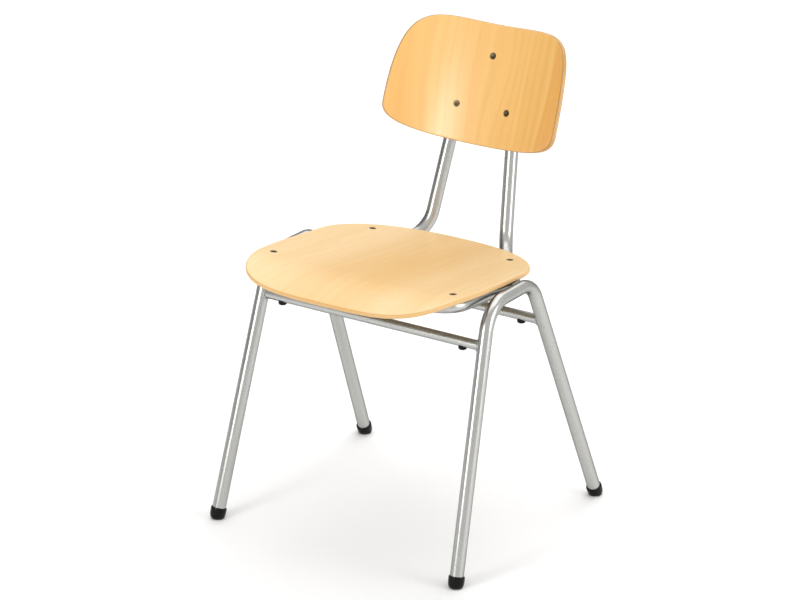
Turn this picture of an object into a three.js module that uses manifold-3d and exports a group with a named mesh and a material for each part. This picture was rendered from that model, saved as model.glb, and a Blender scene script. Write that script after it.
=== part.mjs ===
// A stacking chair. Two bent tubes stand as leg frames, two cross tubes join them, and one long
// tube is bent into a seat ring and a back hoop. Pressed plywood shells are bolted to that tube.
// Millimetres, +Z up. The chair faces -Y, so the sitter's left is +X.
import * as THREE from 'three';
import { mergeVertices } from 'three/addons/utils/BufferGeometryUtils.js';
import Module from 'manifold-3d';

const wasm = await Module();
wasm.setup();

// ---------------------------------------------------------------- driving dimensions

const TUBE_RADIUS = 11;
const TUBE_WALL = 1.5;
const CROSS_RADIUS = 8;
const CROSS_WALL = 1.5;
const GAP = 0.3; // between pieces that touch or are cut to each other
const BEND_STEP = THREE.MathUtils.degToRad(14); // the most that a bend turns from one station to the next
const TUBE_SIDES = 14;

// The centre line of a leg frame: its feet on the floor, and the corners where its straight runs meet.
const LEG_FRAME = {
  topHeight: 430.4,
  topHalfWidth: 209.4,
  footHalfWidth: 232.9,
  frontFootY: -187.5,
  frontCornerY: -62.6,
  rearCornerY: 62.9,
  rearFootY: 248.3,
  frontBend: 56,
  rearBend: 48,
};
const TUBE_END_HEIGHT = 8; // along the leg, from the floor to the end of the tube
const CAP_HEIGHT = 19; // along the leg, from the floor to the lip of a foot cap

// The long tube: the seat ring, from its front bow to its rear, the uprights and the back hoop.
const RING = {
  frontHalfWidth: 177,
  frontY: -122,
  frontMiddleZ: 430.2,
  frontCornerZ: 436.3,
  sideY: -14,
  sideZ: 427.6,
  weldHalfWidth: 190.8, // where a side bends outwards to lie against a leg frame's top rail
  weldY: 46,
  weldZ: 423,
  uprightFoot: { x: 77, y: 196.3, z: 403 },
  uprightHead: { x: 57.7, y: 245.8, z: 593 },
  frontBend: 40,
  sideBend: 90,
  weldBend: 34,
  boltBend: 120,
  uprightBend: 60,
  backBend: 150,
  hoopBend: 40,
};

const FRONT_CROSS_HEIGHT = 368;
const REAR_CROSS_HEIGHT = 356;
const BUMPER_HALF_SPACING = 173;

// The seat shell. Its outline is a half superellipse behind the waist line and a squarer one in front.
const SEAT = {
  thickness: 8,
  halfWidth: 195.2,
  waistY: 57,
  rearY: 181.4,
  frontY: -221,
  frontPower: 4.3,
  rearPower: 2.17,
  widening: 0.00021, // share of the half width gained for each millimetre in front of the waist
  height: 451.6, // of the top face on the centre line, at the front bolts
  slope: 0.083,
  dish: 5.3, // how far the sides, at dishHalfWidth, stand above the centre line
  dishHalfWidth: 200,
  rollY: -108.6, // the front edge starts to roll down here
  rollRadius: 299.5,
};

// The backrest shell. Its outline is four Bezier curves, given for the board pressed flat.
const BACK = {
  thickness: 8.5,
  halfWidth: 169.8,
  topZ: 765.1,
  widestZ: 630,
  bottomZ: 576.4,
  topHandle: 123.7,
  upperHandle: 176.6,
  lowerHandle: 38.3,
  bottomHandle: 84.8,
  datumZ: 635,
  datumY: 243.6,
  lean: 0.352,
  leanGrowth: 0.0003,
  radius: 371,
  wingRise: 12.5, // how far the tips curl forward beyond the circle, at wingSpan from the middle
  wingSpan: 180,
};

const FRONT_BOLT = { x: 170.8, y: -107.5 };
const REAR_BOLT = { x: 133.4, y: 120.8 };
const LOWER_BACK_BOLT = { u: 48.2, z: 635.3 };
const TOP_BACK_BOLT = { u: 0, z: 716.2 };

const BOLT_RADIUS = 2.9;
const BOLT_HOLE_RADIUS = 3.3;
const BOLT_HEAD_RADIUS = 5.6;
const COUNTERSINK_DEPTH = 2.7;
const HEX_KEY = 4; // across the flats
const HEX_KEY_DEPTH = 1.8;
const BOLT_LENGTH = 22; // from the face that its head holds
const INSERT = { bore: 3.2, body: 4.5, head: 5.4, headHeight: 0.6, length: 12 };

// ---------------------------------------------------------------- materials

function material(color, roughness, metalness) {
  return new THREE.MeshStandardMaterial({ color, roughness, metalness });
}

const paintedSteel = () => material(0xb9bab6, 0.38, 0.6);
const seatVeneer = () => material(0xf2d3a2, 0.4, 0);
const backVeneer = () => material(0xf3c078, 0.38, 0);
const blackPlastic = () => material(0x141414, 0.45, 0);
const zincSteel = () => material(0x85817a, 0.35, 1);

// ---------------------------------------------------------------- solids

const UP = new THREE.Vector3(0, 0, 1);
const point = (x, y, z) => new THREE.Vector3(x, y, z);

// The triangles of a closed geometry, with shared corners and without slivers.
function solidOf(geometry) {
  const loose = geometry.index ? geometry.toNonIndexed() : geometry;
  const bare = new THREE.BufferGeometry().setAttribute('position', loose.getAttribute('position'));
  const merged = mergeVertices(bare, 1e-4);
  const corners = merged.index.array;
  const kept = [];
  for (let i = 0; i < corners.length; i += 3) {
    const [a, b, c] = [corners[i], corners[i + 1], corners[i + 2]];
    if (a !== b && b !== c && c !== a) kept.push(a, b, c);
  }
  const vertProperties = merged.attributes.position.array;
  const triVerts = new Uint32Array(kept);
  return new wasm.Manifold(new wasm.Mesh({ numProp: 3, vertProperties, triVerts }));
}

function geometryOf(solid) {
  const mesh = solid.getMesh();
  const geometry = new THREE.BufferGeometry();
  geometry.setAttribute('position', new THREE.BufferAttribute(mesh.vertProperties, 3));
  geometry.setIndex(new THREE.BufferAttribute(mesh.triVerts, 1));
  const faceted = geometry.toNonIndexed();
  faceted.computeVertexNormals();
  return faceted;
}

function cut(geometry, ...tools) {
  let solid = solidOf(geometry);
  for (const tool of tools) solid = solid.subtract(solidOf(tool));
  return geometryOf(solid);
}

const join = (...geometries) => geometryOf(geometries.map(solidOf).reduce((a, b) => a.add(b)));

// A straight round bar from one point to another. Its flats lie on the radius, so that a hole cut
// with it clears a round of that size.
function bar(from, to, radius, sides = 20) {
  const along = to.clone().sub(from);
  const geometry = new THREE.CylinderGeometry(1, 1, 1, sides);
  geometry.rotateX(Math.PI / 2);
  const across = radius / Math.cos(Math.PI / sides);
  geometry.scale(across, across, along.length());
  geometry.applyQuaternion(new THREE.Quaternion().setFromUnitVectors(UP, along.clone().normalize()));
  const middle = from.clone().add(to).multiplyScalar(0.5);
  return geometry.translate(middle.x, middle.y, middle.z);
}

// A solid of revolution about Z, from [radius, z] pairs that run from the lowest point to the highest.
function turned(profile, sides) {
  const outline = profile.map(([radius, z]) => new THREE.Vector2(radius, z));
  return new THREE.LatheGeometry(outline, sides).rotateX(Math.PI / 2);
}

// A curve with one station at each end of a straight run, and more round the bends.
class Route extends THREE.Curve {
  constructor(stations) {
    super();
    this.stations = stations;
    this.steps = stations.length - 1;
  }

  getPoint(t, target = new THREE.Vector3()) {
    const place = t * this.steps;
    const first = Math.min(Math.floor(place + 1e-9), this.steps - 1);
    return target.lerpVectors(this.stations[first], this.stations[first + 1], place - first);
  }

  getPointAt(u, target) {
    return this.getPoint(u, target);
  }

  // At a station the section stands in the plane that halves the angle between the two runs.
  getTangentAt(u, target = new THREE.Vector3()) {
    const station = Math.round(u * this.steps);
    target.set(0, 0, 0);
    for (const run of [station - 1, station]) {
      if (run < 0 || run >= this.steps) continue;
      target.add(this.stations[run + 1].clone().sub(this.stations[run]).normalize());
    }
    return target.normalize();
  }
}

// The centre line of a bent tube: its two ends, and corners that each have a bend radius.
function bentLine(start, corners, end) {
  const stations = [start];
  corners.forEach(({ at, bend }, i) => {
    const before = i === 0 ? start : corners[i - 1].at;
    const after = i === corners.length - 1 ? end : corners[i + 1].at;
    const back = before.clone().sub(at).normalize();
    const ahead = after.clone().sub(at).normalize();
    const turn = Math.PI - back.angleTo(ahead);
    const inward = back.clone().add(ahead).normalize();
    const centre = at.clone().addScaledVector(inward, bend / Math.cos(turn / 2));
    const reach = bend * Math.tan(turn / 2);
    const firstArm = at.clone().addScaledVector(back, reach).sub(centre);
    const lastArm = at.clone().addScaledVector(ahead, reach).sub(centre);
    const axis = firstArm.clone().cross(lastArm).normalize();
    const steps = Math.ceil(turn / BEND_STEP);
    for (let k = 0; k <= steps; k++) {
      stations.push(firstArm.clone().applyAxisAngle(axis, (turn * k) / steps).add(centre));
    }
  });
  stations.push(end);
  return stations;
}

function tube(stations, radius, wall) {
  const route = new Route(stations);
  const section = new THREE.Shape().absarc(0, 0, radius, 0, 2 * Math.PI, false);
  section.holes.push(new THREE.Path().absarc(0, 0, radius - wall, 0, 2 * Math.PI, true));
  return new THREE.ExtrudeGeometry(section, {
    steps: route.steps,
    curveSegments: TUBE_SIDES / 2,
    bevelEnabled: false,
    extrudePath: route,
  });
}

// ---------------------------------------------------------------- plywood shells

// A plate of even thickness. place(share, turn, depth) puts a point at a share of the way from the
// middle to the edge, in the direction turn, at a depth below the front face.
function pressedShell(thickness, edgeReach, place) {
  const round = 2.2;
  const softened = 0.7;
  const share = (inset) => 1 - inset / edgeReach;
  const rings = [0.3, 0.55, 0.76, 0.9];
  const rim = [
    [share(round), thickness],
    [share(softened), thickness - softened],
    [1, thickness - round],
    [1, round],
    [share(softened), softened],
    [share(round), 0],
  ];
  const rear = [0, ...rings].map((ring) => [ring, thickness]);
  const front = [...rings].reverse().map((ring) => [ring, 0]);
  const profile = [...rear, ...rim, ...front, [0, 0]];
  const disc = turned(profile, 52);
  const position = disc.getAttribute('position');
  for (let i = 0; i < position.count; i++) {
    const [x, y, depth] = [position.getX(i), position.getY(i), position.getZ(i)];
    const turn = Math.atan2(Math.abs(y) < 1e-9 ? 0 : y, x);
    const placed = place(Math.hypot(x, y), turn, depth);
    position.setXYZ(i, placed.x, placed.y, placed.z);
  }
  return disc;
}

function seatHeight(x, y) {
  const roll = Math.max(0, SEAT.rollY - y);
  const level = SEAT.height - SEAT.slope * (y - FRONT_BOLT.y);
  return level + SEAT.dish * (x / SEAT.dishHalfWidth) ** 2 - roll ** 2 / (2 * SEAT.rollRadius);
}

// The direction down through the seat shell, square to its top face.
function seatInward(x, y) {
  const roll = Math.max(0, SEAT.rollY - y);
  const riseX = (2 * SEAT.dish * x) / SEAT.dishHalfWidth ** 2;
  const riseY = -SEAT.slope + roll / SEAT.rollRadius;
  return point(riseX, riseY, -1).normalize();
}

function seatPlace(share, turn, depth) {
  const [across, along] = [Math.cos(turn), Math.sin(turn)];
  const power = 2 / (along > 0 ? SEAT.rearPower : SEAT.frontPower);
  const reach = along > 0 ? SEAT.rearY - SEAT.waistY : SEAT.waistY - SEAT.frontY;
  const edgeY = SEAT.waistY + Math.sign(along) * reach * Math.abs(along) ** power;
  const widened = 1 + SEAT.widening * (SEAT.waistY - edgeY);
  const edgeX = widened * SEAT.halfWidth * Math.sign(across) * Math.abs(across) ** power;
  const middleY = (SEAT.rearY + SEAT.frontY) / 2;
  const x = share * edgeX;
  const y = middleY + share * (edgeY - middleY);
  return point(x, y, seatHeight(x, y)).addScaledVector(seatInward(x, y), depth);
}

// A point on the front face of the backrest, u along its width and z up.
function backFront(u, z) {
  const rise = z - BACK.datumZ;
  const sag = BACK.radius * (1 - Math.cos(u / BACK.radius)) + BACK.wingRise * (u / BACK.wingSpan) ** 4;
  const y = BACK.datumY + BACK.lean * rise + BACK.leanGrowth * rise ** 2 - sag;
  return point(BACK.radius * Math.sin(u / BACK.radius), y, z);
}

// The direction backwards through the backrest shell, square to its front face.
function backInward(u, z) {
  const step = 0.5;
  const sideways = backFront(u + step, z).sub(backFront(u - step, z));
  const upwards = backFront(u, z + step).sub(backFront(u, z - step));
  return upwards.cross(sideways).normalize();
}

function backOutline() {
  const { halfWidth: w, topZ, widestZ, bottomZ, topHandle, bottomHandle } = BACK;
  const shoulder = widestZ + BACK.upperHandle;
  const hip = widestZ - BACK.lowerHandle;
  const outline = new THREE.Path().moveTo(w, widestZ);
  outline.bezierCurveTo(w, shoulder, topHandle, topZ, 0, topZ);
  outline.bezierCurveTo(-topHandle, topZ, -w, shoulder, -w, widestZ);
  outline.bezierCurveTo(-w, hip, -bottomHandle, bottomZ, 0, bottomZ);
  outline.bezierCurveTo(bottomHandle, bottomZ, w, hip, w, widestZ);
  return outline;
}

const backEdge = backOutline();

function backPlace(share, turn, depth) {
  const round = (turn / (2 * Math.PI) + 1) % 1;
  const edge = backEdge.getPoint(round);
  const middleZ = (BACK.topZ + BACK.bottomZ) / 2;
  const u = share * edge.x;
  const z = middleZ + share * (edge.y - middleZ);
  return backFront(u, z).addScaledVector(backInward(u, z), depth);
}

// ---------------------------------------------------------------- tube routes

const FRONT = -1;
const REAR = 1;

// A point on the centre line of the left leg frame, at a height above the floor.
function legPoint(end, height) {
  const down = 1 - height / LEG_FRAME.topHeight;
  const x = LEG_FRAME.topHalfWidth + (LEG_FRAME.footHalfWidth - LEG_FRAME.topHalfWidth) * down;
  const cornerY = end === FRONT ? LEG_FRAME.frontCornerY : LEG_FRAME.rearCornerY;
  const footY = end === FRONT ? LEG_FRAME.frontFootY : LEG_FRAME.rearFootY;
  return point(x, cornerY + (footY - cornerY) * down, height);
}

const legDirection = (end) => legPoint(end, LEG_FRAME.topHeight).sub(legPoint(end, 0)).normalize();

function legFrameLine() {
  const tubeEnd = (end) => legPoint(end, 0).addScaledVector(legDirection(end), TUBE_END_HEIGHT);
  const corners = [
    { at: legPoint(FRONT, LEG_FRAME.topHeight), bend: LEG_FRAME.frontBend },
    { at: legPoint(REAR, LEG_FRAME.topHeight), bend: LEG_FRAME.rearBend },
  ];
  return bentLine(tubeEnd(FRONT), corners, tubeEnd(REAR));
}

const SEAT_CLEARANCE = GAP; // between a shell's back face and the long tube
const BACK_CLEARANCE = 4 * GAP;

// A bolt's head, the direction of its shank, and the middle of the tube that it is screwed into.
function boltAt(head, inward, thickness, clearance) {
  const tubeMiddle = head.clone().addScaledVector(inward, thickness + clearance + TUBE_RADIUS);
  return { head, inward, tubeMiddle };
}

const seatBolt = ({ x, y }) => boltAt(
  point(x, y, seatHeight(x, y)),
  seatInward(x, y),
  SEAT.thickness,
  SEAT_CLEARANCE,
);

const backBolt = ({ u, z }) => boltAt(
  backFront(u, z),
  backInward(u, z),
  BACK.thickness,
  BACK_CLEARANCE,
);

// The corners of the left half of the long tube, from the front bow to the top of the hoop.
function ringCorners() {
  const rear = seatBolt(REAR_BOLT).tubeMiddle;
  const lower = backBolt(LOWER_BACK_BOLT).tubeMiddle;
  const top = backBolt(TOP_BACK_BOLT).tubeMiddle;
  const { uprightFoot, uprightHead } = RING;
  const narrowing = (uprightHead.x - lower.x) / (lower.z - uprightHead.z);
  return [
    { at: point(RING.frontHalfWidth, RING.frontY, RING.frontCornerZ), bend: RING.frontBend },
    { at: point(RING.frontHalfWidth, RING.sideY, RING.sideZ), bend: RING.sideBend },
    { at: point(RING.weldHalfWidth, RING.weldY, RING.weldZ), bend: RING.weldBend },
    { at: rear, bend: RING.boltBend },
    { at: point(uprightFoot.x, uprightFoot.y, uprightFoot.z), bend: RING.uprightBend },
    { at: point(uprightHead.x, uprightHead.y, uprightHead.z), bend: RING.backBend },
    { at: point(lower.x - narrowing * (top.z - lower.z), top.y, top.z), bend: RING.hoopBend },
  ];
}

function ringLine() {
  const left = ringCorners();
  const mirrored = left.map(({ at, bend }) => ({ at: point(-at.x, at.y, at.z), bend }));
  const end = point(GAP / 2, RING.frontY, RING.frontMiddleZ);
  const start = point(-GAP / 2, RING.frontY, RING.frontMiddleZ);
  return bentLine(start, [...mirrored, ...left.reverse()], end);
}

// A straight hole along a bolt, between two depths below the face that its head holds.
const holeAlong = ({ head, inward }, from, to, radius) => bar(
  head.clone().addScaledVector(inward, from),
  head.clone().addScaledVector(inward, to),
  radius,
  16,
);

// ---------------------------------------------------------------- assembly

const chair = new THREE.Group();

function add(parent, name, geometry, material, at = point(0, 0, 0), direction = UP) {
  const mesh = new THREE.Mesh(geometry, material);
  mesh.name = name;
  mesh.position.copy(at);
  mesh.quaternion.setFromUnitVectors(UP, direction);
  parent.add(mesh);
  return mesh;
}

const SIDES = [
  { side: 'left', sign: 1 },
  { side: 'right', sign: -1 },
];
const ENDS = [
  { end: 'front', which: FRONT, crossHeight: FRONT_CROSS_HEIGHT },
  { end: 'rear', which: REAR, crossHeight: REAR_CROSS_HEIGHT },
];
const mirror = (vector, sign) => point(sign * vector.x, vector.y, vector.z);

// The leg frames and the caps on their feet are the same on both sides, mirrored.
for (const { side, sign } of SIDES) {
  const half = new THREE.Group();
  half.scale.x = sign;
  chair.add(half);
  add(half, `${side}_leg_frame`, tube(legFrameLine(), TUBE_RADIUS, TUBE_WALL), paintedSteel());
  for (const { end, which } of ENDS) {
    add(half, `${side}_${end}_foot_cap`, footCap(which), blackPlastic(), legPoint(which, 0));
  }
}

// A cup with a rounded bottom round the end of the leg, cut off level with the floor.
function footCap(end) {
  const bore = TUBE_RADIUS + GAP;
  const cup = turned([
    [0, -3],
    [5, -3],
    [9, -1],
    [11.6, 2],
    [12.9, 7],
    [13.2, CAP_HEIGHT - 3],
    [12.6, CAP_HEIGHT],
    [bore, CAP_HEIGHT],
    [bore, TUBE_END_HEIGHT - GAP],
    [0, TUBE_END_HEIGHT - GAP],
  ], 20);
  cup.applyQuaternion(new THREE.Quaternion().setFromUnitVectors(UP, legDirection(end)));
  const underFloor = new THREE.BoxGeometry(80, 80, 40).translate(0, 0, -20);
  return cut(cup, underFloor);
}

// A cross tube ends against the rounds of both legs, and has a hole for each bumper's stem.
function crossTube(which, height) {
  const at = legPoint(which, height);
  const line = [point(-at.x, at.y, at.z), at];
  const legs = [1, -1].map((sign) => bar(
    mirror(legPoint(which, height - 60), sign),
    mirror(legPoint(which, height + 60), sign),
    TUBE_RADIUS + GAP,
    24,
  ));
  const stems = [1, -1].map((sign) => bar(
    point(sign * BUMPER_HALF_SPACING, at.y, height - 2 * CROSS_RADIUS),
    point(sign * BUMPER_HALF_SPACING, at.y, height),
    2.9,
    12,
  ));
  return cut(tube(line, CROSS_RADIUS, CROSS_WALL), ...legs, ...stems);
}

// A plastic plug whose head is hollowed to sit on the underside of a cross tube.
function stackingBumper() {
  const head = turned([[0, -13], [4.6, -13], [6.6, -11.5], [7.2, -9], [7.2, -4], [0, -4]], 16);
  const tubeRound = bar(point(-20, 0, 0), point(20, 0, 0), CROSS_RADIUS + GAP, 24);
  const stem = turned([[0, -12], [2.5, -12], [2.5, -3.5], [1.6, -2], [0, -2]], 12);
  return join(cut(head, tubeRound), stem);
}

for (const { end, which, crossHeight } of ENDS) {
  add(chair, `${end}_cross_tube`, crossTube(which, crossHeight), paintedSteel());
  const { y } = legPoint(which, crossHeight);
  for (const { side, sign } of SIDES) {
    const at = point(sign * BUMPER_HALF_SPACING, y, crossHeight);
    add(chair, `${side}_${end}_stacking_bumper`, stackingBumper(), blackPlastic(), at);
  }
}

const keyHole = new THREE.CylinderGeometry(1, 1, 2 * HEX_KEY_DEPTH, 6).rotateX(Math.PI / 2);
keyHole.scale(HEX_KEY / Math.sqrt(3), HEX_KEY / Math.sqrt(3), 1);

// A bolt points up: its head is level with the face that it holds, and its shank runs down from it.
const countersunkBolt = cut(turned([
  [0, -BOLT_LENGTH],
  [BOLT_RADIUS, -BOLT_LENGTH],
  [BOLT_RADIUS, -COUNTERSINK_DEPTH],
  [BOLT_HEAD_RADIUS, -0.3],
  [BOLT_HEAD_RADIUS, 0],
  [0, 0],
], 14), keyHole);

const countersink = turned([
  [0, -COUNTERSINK_DEPTH - 1],
  [BOLT_HOLE_RADIUS, -COUNTERSINK_DEPTH - 1],
  [BOLT_HOLE_RADIUS, -COUNTERSINK_DEPTH - GAP],
  [BOLT_HEAD_RADIUS + 0.45, -0.3],
  [BOLT_HEAD_RADIUS + 0.45, 4],
  [0, 4],
], 14);

// A threaded insert, riveted into the wall of the ring tube. Its flat head is at z = 0.
function threadedInsert() {
  const { bore, body, head, headHeight, length } = INSERT;
  return turned([
    [bore, -length],
    [body, -length],
    [body, -headHeight],
    [head, -headHeight],
    [head, 0],
    [bore, 0],
    [bore, -length],
  ], 12);
}

function placeBolt(name, bolt, thickness) {
  const up = bolt.inward.clone().negate();
  const insertTop = bolt.head.clone().addScaledVector(bolt.inward, thickness + GAP);
  add(chair, `${name}_bolt`, countersunkBolt, zincSteel(), bolt.head, up);
  add(chair, `${name}_insert`, threadedInsert(), zincSteel(), insertTop, up);
}

const seatBolts = [];
const backBolts = [{ name: 'top_back', bolt: backBolt(TOP_BACK_BOLT) }];
for (const { side, sign } of SIDES) {
  const front = { x: sign * FRONT_BOLT.x, y: FRONT_BOLT.y };
  const rear = { x: sign * REAR_BOLT.x, y: REAR_BOLT.y };
  const lower = { u: sign * LOWER_BACK_BOLT.u, z: LOWER_BACK_BOLT.z };
  seatBolts.push({ name: `${side}_front_seat`, bolt: seatBolt(front) });
  seatBolts.push({ name: `${side}_rear_seat`, bolt: seatBolt(rear) });
  backBolts.push({ name: `${side}_back`, bolt: backBolt(lower) });
}
for (const { name, bolt } of seatBolts) placeBolt(name, bolt, SEAT.thickness);
for (const { name, bolt } of backBolts) placeBolt(name, bolt, BACK.thickness);

// An insert's seat in the tube: a hole for its body through the near wall, and a flat for its head.
function insertSeat(bolt, thickness) {
  const headBottom = thickness + INSERT.headHeight + 2 * GAP;
  return [
    holeAlong(bolt, thickness / 2, headBottom, INSERT.head + GAP),
    holeAlong(bolt, thickness, thickness + TUBE_RADIUS, INSERT.body + GAP),
  ];
}

const insertSeats = [
  ...seatBolts.flatMap(({ bolt }) => insertSeat(bolt, SEAT.thickness)),
  ...backBolts.flatMap(({ bolt }) => insertSeat(bolt, BACK.thickness)),
];
const ring = cut(tube(ringLine(), TUBE_RADIUS, TUBE_WALL), ...insertSeats);
add(chair, 'seat_and_back_tube', ring, paintedSteel());

// A bolt's way through a shell: a straight hole with a countersink at the face.
const boltWay = ({ bolt }) => [
  holeAlong(bolt, -COUNTERSINK_DEPTH, BOLT_LENGTH, BOLT_HOLE_RADIUS),
  countersink.clone()
    .applyQuaternion(new THREE.Quaternion().setFromUnitVectors(UP, bolt.inward.clone().negate()))
    .translate(bolt.head.x, bolt.head.y, bolt.head.z),
];

const seatReach = (SEAT.rearY - SEAT.frontY) / 2;
const seatShell = pressedShell(SEAT.thickness, seatReach, seatPlace);
add(chair, 'seat_shell', cut(seatShell, ...seatBolts.flatMap(boltWay)), seatVeneer());

const backReach = (BACK.topZ - BACK.bottomZ) / 2;
const backShell = pressedShell(BACK.thickness, backReach, backPlace);
add(chair, 'backrest_shell', cut(backShell, ...backBolts.flatMap(boltWay)), backVeneer());

// The origin is the middle of the footprint, on the floor.
const extent = new THREE.Box3().setFromObject(chair, true);
chair.position.y = -(extent.min.y + extent.max.y) / 2;

export default chair;
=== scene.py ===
"""The visual model of a stacking chair: bent tubes, moulded plywood shells, bolts, caps and bumpers.

The driving dimensions are those of the CAD model, in millimetres in its design frame; a mesh is turned into
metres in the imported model's frame as it is made.
"""
import math

import bmesh
import bpy
from mathutils import Matrix, Quaternion, Vector


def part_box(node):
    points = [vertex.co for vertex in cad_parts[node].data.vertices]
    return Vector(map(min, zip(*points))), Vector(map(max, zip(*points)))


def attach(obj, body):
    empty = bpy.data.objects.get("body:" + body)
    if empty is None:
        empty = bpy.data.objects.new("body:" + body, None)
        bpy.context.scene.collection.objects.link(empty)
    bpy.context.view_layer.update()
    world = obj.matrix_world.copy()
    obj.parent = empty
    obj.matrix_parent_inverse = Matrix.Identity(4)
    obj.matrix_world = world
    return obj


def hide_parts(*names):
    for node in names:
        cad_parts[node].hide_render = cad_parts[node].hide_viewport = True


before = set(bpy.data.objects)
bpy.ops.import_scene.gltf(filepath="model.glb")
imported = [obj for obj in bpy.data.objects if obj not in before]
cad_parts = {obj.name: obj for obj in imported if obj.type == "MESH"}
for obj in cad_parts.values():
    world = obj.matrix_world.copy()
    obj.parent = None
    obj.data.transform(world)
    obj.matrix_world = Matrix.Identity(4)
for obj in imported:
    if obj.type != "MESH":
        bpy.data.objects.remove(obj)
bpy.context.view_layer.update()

MM = 0.001

# ---------------------------------------------------------------- driving dimensions

TUBE_RADIUS = 11
CROSS_RADIUS = 8
GAP = 0.3
BEND_STEP = math.radians(4)

TOP_HEIGHT = 430.4
TOP_HALF_WIDTH = 209.4
FOOT_HALF_WIDTH = 232.9
CORNER_Y = {"front": -62.6, "rear": 62.9}
FOOT_Y = {"front": -187.5, "rear": 248.3}
LEG_BEND = {"front": 56, "rear": 48}
CROSS_HEIGHT = {"front": 368, "rear": 356}
TUBE_END_HEIGHT = 8
CAP_HEIGHT = 19
BUMPER_HALF_SPACING = 173

SEAT = dict(thickness=8, half_width=195.2, waist_y=57, rear_y=181.4, front_y=-221, front_power=4.3,
            rear_power=2.17, widening=0.00021, height=451.6, datum_y=-107.5, slope=0.083, dish=5.3,
            dish_half_width=200, roll_y=-108.6, roll_radius=299.5)
BACK = dict(thickness=8.5, half_width=169.8, top_z=765.1, widest_z=630, bottom_z=576.4,
            top_handle=123.7, upper_handle=176.6, lower_handle=38.3, bottom_handle=84.8,
            datum_z=635, datum_y=243.6, lean=0.352, lean_growth=0.0003, radius=371,
            wing_rise=12.5, wing_span=180)
RING = dict(front_half_width=177, front_y=-122, front_middle_z=430.2, front_corner_z=436.3,
            side_y=-14, side_z=427.6, weld_half_width=190.8, weld_y=46, weld_z=423,
            front_bend=40, side_bend=90, weld_bend=34, bolt_bend=120, upright_bend=60,
            back_bend=150, hoop_bend=40)
UPRIGHT_FOOT = (77, 196.3, 403)
UPRIGHT_HEAD = (57.7, 245.8, 593)
FRONT_BOLT = (170.8, -107.5)
REAR_BOLT = (133.4, 120.8)
LOWER_BACK_BOLT = (48.2, 635.3)
TOP_BACK_BOLT = (0, 716.2)
BOLT_HEAD_RADIUS = 5.6
BOLT_RADIUS = 2.9
COUNTERSINK_DEPTH = 2.7
BOLT_LENGTH = 22
BOLT_HOLE_RADIUS = 3.3
COUNTERSINK_ROOM = 0.35
HEX_KEY = 4
CAP_RADIUS = 13.2
EDGE_ROUNDING = 2.6
PLIES = 7
RAIL_BEAD_RADIUS = 2.4
RAIL_WELD_HALF_LENGTH = 12
SLIVER = 0.02  # what a cut leaves behind that is shorter than this is merged


# ---------------------------------------------------------------- meshes


def leg_point(end, height):
    down = 1 - height / TOP_HEIGHT
    x = TOP_HALF_WIDTH + (FOOT_HALF_WIDTH - TOP_HALF_WIDTH) * down
    return Vector((x, CORNER_Y[end] + (FOOT_Y[end] - CORNER_Y[end]) * down, height))


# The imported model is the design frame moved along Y; a cross tube's middle says how far.
low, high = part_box("front_cross_tube")
Y_SHIFT = (low[1] + high[1]) / 2 / MM - leg_point("front", CROSS_HEIGHT["front"]).y


def to_frame(p):
    return (p[0] * MM, (p[1] + Y_SHIFT) * MM, p[2] * MM)


def piece(name, points, faces, material, nodes, uvs=None, sharp=35):
    """A mesh object on the chair's one body. uvs maps a layer's name to one pair for each point."""
    mesh = bpy.data.meshes.new(name)
    mesh.from_pydata([to_frame(p) for p in points], [], faces)
    for layer, pairs in (uvs or {}).items():
        data = mesh.uv_layers.new(name=layer).data
        for loop in mesh.loops:
            data[loop.index].uv = pairs[loop.vertex_index]
    mesh.materials.append(material)
    obj = bpy.data.objects.new(name, mesh)
    bpy.context.scene.collection.objects.link(obj)
    finish_mesh(obj, sharp)
    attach(obj, "root")
    if nodes:
        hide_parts(*nodes)
    return obj


def finish_mesh(obj, sharp):
    bm = bmesh.new()
    bm.from_mesh(obj.data)
    bmesh.ops.recalc_face_normals(bm, faces=bm.faces)
    bm.to_mesh(obj.data)
    bm.free()
    obj.data.shade_smooth()
    obj.data.set_sharp_from_angle(angle=math.radians(sharp))


def bent_line(start, corners, end):
    """Points along a tube's centre line. corners are (point, bend radius)."""
    points = [Vector(start)]
    spots = [Vector(start)] + [Vector(p) for p, _ in corners] + [Vector(end)]
    for i, (_, bend) in enumerate(corners, 1):
        at = spots[i]
        back = (spots[i - 1] - at).normalized()
        ahead = (spots[i + 1] - at).normalized()
        turn = math.pi - back.angle(ahead)
        centre = at + (back + ahead).normalized() * bend / math.cos(turn / 2)
        reach = bend * math.tan(turn / 2)
        first, last = at + back * reach - centre, at + ahead * reach - centre
        axis = first.cross(last).normalized()
        steps = math.ceil(turn / BEND_STEP)
        for k in range(steps + 1):
            points.append(centre + Quaternion(axis, turn * k / steps) @ first)
    points.append(Vector(end))
    return points


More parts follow.
